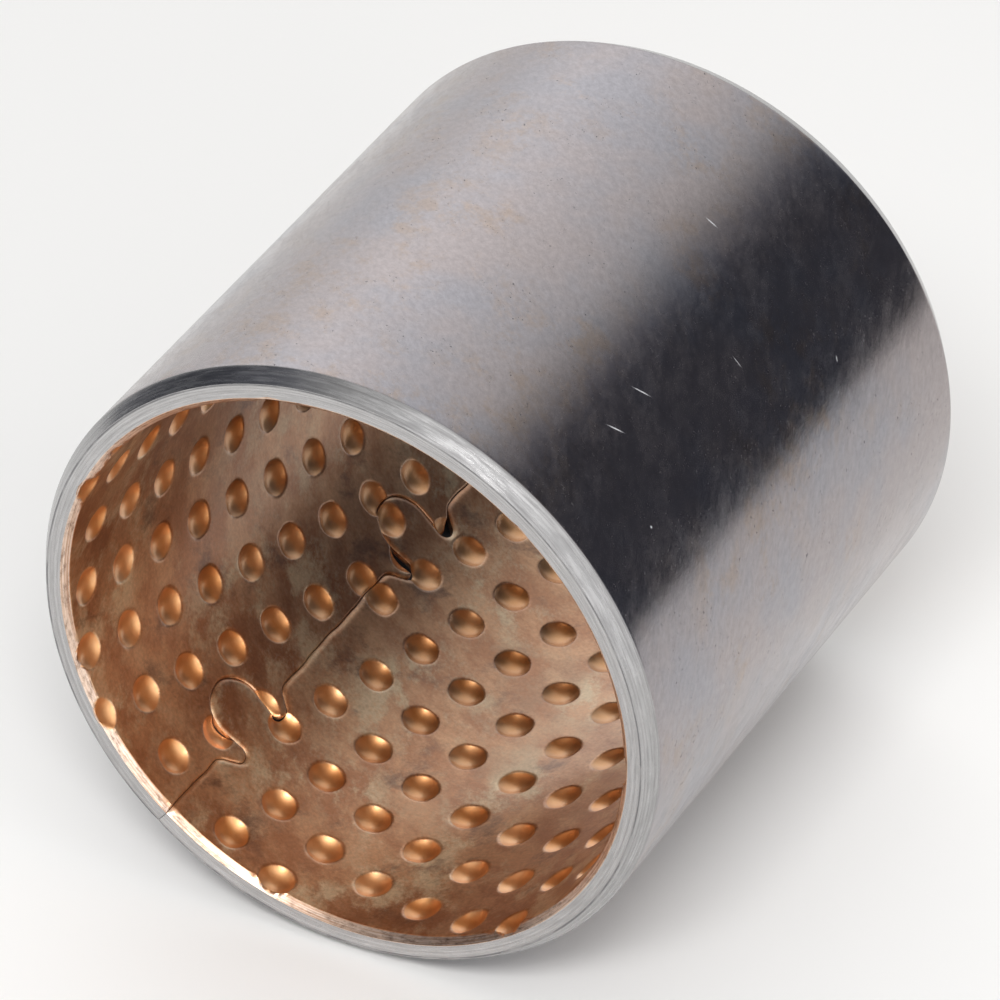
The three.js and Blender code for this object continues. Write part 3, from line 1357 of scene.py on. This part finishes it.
@dataclass(frozen=True)
class Studio:
    """A white board under the bushing, soft lights, a room round them and a long-lens camera.

    Attributes:
        board_radius: the board's radius, in metres.
        azimuth: how far the camera stands round from the front, towards +X, in radians.
        elevation: how far it stands above the bushing, in radians.
        distance: its distance from the bushing's middle, in metres.
        aside: how far it is moved to its own right, in metres.
        above: how far it is moved up in its own view, in metres.
        focal_length: its focal length, in millimetres.
        dark_corner: the least light that comes from any side of the room.
        lights: the soft lights.
    """

    board_radius: float = 0.33
    azimuth: float = math.radians(27.96)
    elevation: float = math.radians(35.88)
    distance: float = 0.60457
    aside: float = -0.00029
    above: float = -0.00037
    focal_length: float = 296.74
    dark_corner: float = 0.085
    lights: tuple[Softbox, ...] = (
        Softbox("key_softbox", (0.22, -0.62, 0.75), 0.9, (0.4, 0.22), 4.2),
        Softbox("side_softbox", (0.74, -0.64, 0.22), 0.9, (0.34, 0.34), 1.1),
    )

    def build(self) -> None:
        """Makes the board, the lights, the room's light and the camera."""
        self._board()
        for light in self.lights:
            light.build()
        self._room()
        self._camera()

    def _board(self) -> None:
        """The round board, flush with the bushing's lowest line."""
        low = CAD_BOX[0].z
        corners = 96
        angles = [TURN_OF_CIRCLE * k / corners for k in range(corners)]
        rim = [(self.board_radius * math.cos(a), self.board_radius * math.sin(a), low) for a in angles]
        mesh = bpy.data.meshes.new("studio_board")
        mesh.from_pydata(rim, [], [tuple(range(corners))])
        mesh.materials.append(PaleBoard().material())
        board = bpy.data.objects.new("studio_board", mesh)
        bpy.context.scene.collection.objects.link(board)

    def _room(self) -> None:
        """The room's light: a white backdrop behind on the left, a bright side in front on the
        right that is weaker straight ahead, and a dark corner with a little blue in it."""
        world = bpy.data.worlds.new("studio_room")
        bpy.context.scene.world = world
        world.use_nodes = True
        tree = world.node_tree
        tree.nodes.clear()
        towards = add(tree, "ShaderNodeTexCoord").outputs["Generated"]
        axes = add(tree, "ShaderNodeSeparateXYZ", inputs={0: towards}).outputs
        behind = add(tree, *STEP, {0: axes["Y"], 1: 0.12, 2: 0.5})
        leftward = add(tree, *STEP, {0: axes["X"], 1: 0.44, 2: 0.08})
        brighter = add(tree, "ShaderNodeMapRange", {}, {0: axes["X"], 1: 0.2, 2: -0.55, 3: 0.66, 4: 1.35})
        lower = add(tree, *STEP, {0: axes["Z"], 1: 0.0, 2: 0.5, 3: 0.62, 4: 1.0})
        backdrop = behind
        for part in (leftward, brighter, lower):
            backdrop = add(tree, *TIMES, {0: backdrop, 1: part})
        to_window = (0.87, 0.0, 0.5)
        slant = add(tree, "ShaderNodeVectorMath", {"operation": "DOT_PRODUCT"}, {0: towards, 1: to_window})
        rise = add(tree, *STEP, {0: slant, 1: -0.7, 2: 0.75})
        soft = add(tree, "ShaderNodeMath", {"operation": "POWER"}, {0: rise, 1: 1.5})
        ahead = add(tree, *STEP, {0: axes["Y"], 1: -0.98, 2: -0.72, 3: 0.4, 4: 1.0})
        window = add(tree, *STEP, {0: axes["Y"], 1: 0.45, 2: 0.0})
        for part in (soft, ahead):
            window = add(tree, *TIMES, {0: window, 1: part})
        light = add(tree, *PLUS, {0: add(tree, *PLUS, {0: backdrop, 1: window}), 1: self.dark_corner})
        bright = add(tree, *STEP, {0: light, 1: 0.08, 2: 0.5})
        tint = add(tree, *MIX, {0: bright, 6: linear("#dfe5fb"), 7: linear("#ffffff")})
        room = add(tree, "ShaderNodeBackground", {}, {"Color": tint, "Strength": light})
        seen = add(tree, "ShaderNodeBackground", {}, {"Color": linear("#ffffff"), "Strength": 1.0})
        direct = add(tree, "ShaderNodeLightPath").outputs["Is Camera Ray"]
        mixed = add(tree, "ShaderNodeMixShader", {}, {0: direct, 1: room, 2: seen})
        add(tree, "ShaderNodeOutputWorld", {}, {"Surface": mixed})

    def _camera(self) -> None:
        """The camera: a long lens, looking down on the front of the bushing from the right."""
        back = Vector((
            math.sin(self.azimuth) * math.cos(self.elevation),
            -math.cos(self.azimuth) * math.cos(self.elevation),
            math.sin(self.elevation),
        ))
        right = (-back).cross(Vector((0, 0, 1))).normalized()
        up = right.cross(-back)
        camera = bpy.data.cameras.new("camera")
        camera.lens = self.focal_length
        camera.sensor_width = 36.0
        camera.clip_start = 0.05
        made = bpy.data.objects.new("camera", camera)
        made.matrix_world = Matrix((right, up, back)).transposed().to_4x4()
        made.location = back * self.distance + right * self.aside + up * self.above
        bpy.context.scene.collection.objects.link(made)
        bpy.context.scene.camera = made


def main() -> None:
    """Builds the studio and both layers of the bushing, and fits each piece to the frame."""
    logging.basicConfig(level=logging.INFO, format="%(name)s: %(message)s")
    bpy.context.scene.view_settings.view_transform = "Standard"
    Studio().build()
    sleeve = Sleeve.from_frame()
    for layer, node, slot in (
        (SteelShell(sleeve), "steel_backing", "backing_steel"),
        (BronzeLiner(sleeve), "bronze_lining", "lining_bronze"),
    ):
        piece = layer.build()
        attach(piece, "root")
        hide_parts(node)
        LOG.info("%s stands for %s, with %d faces", piece.name, node, len(piece.data.polygons))


if __name__ == "__main__":
    main()
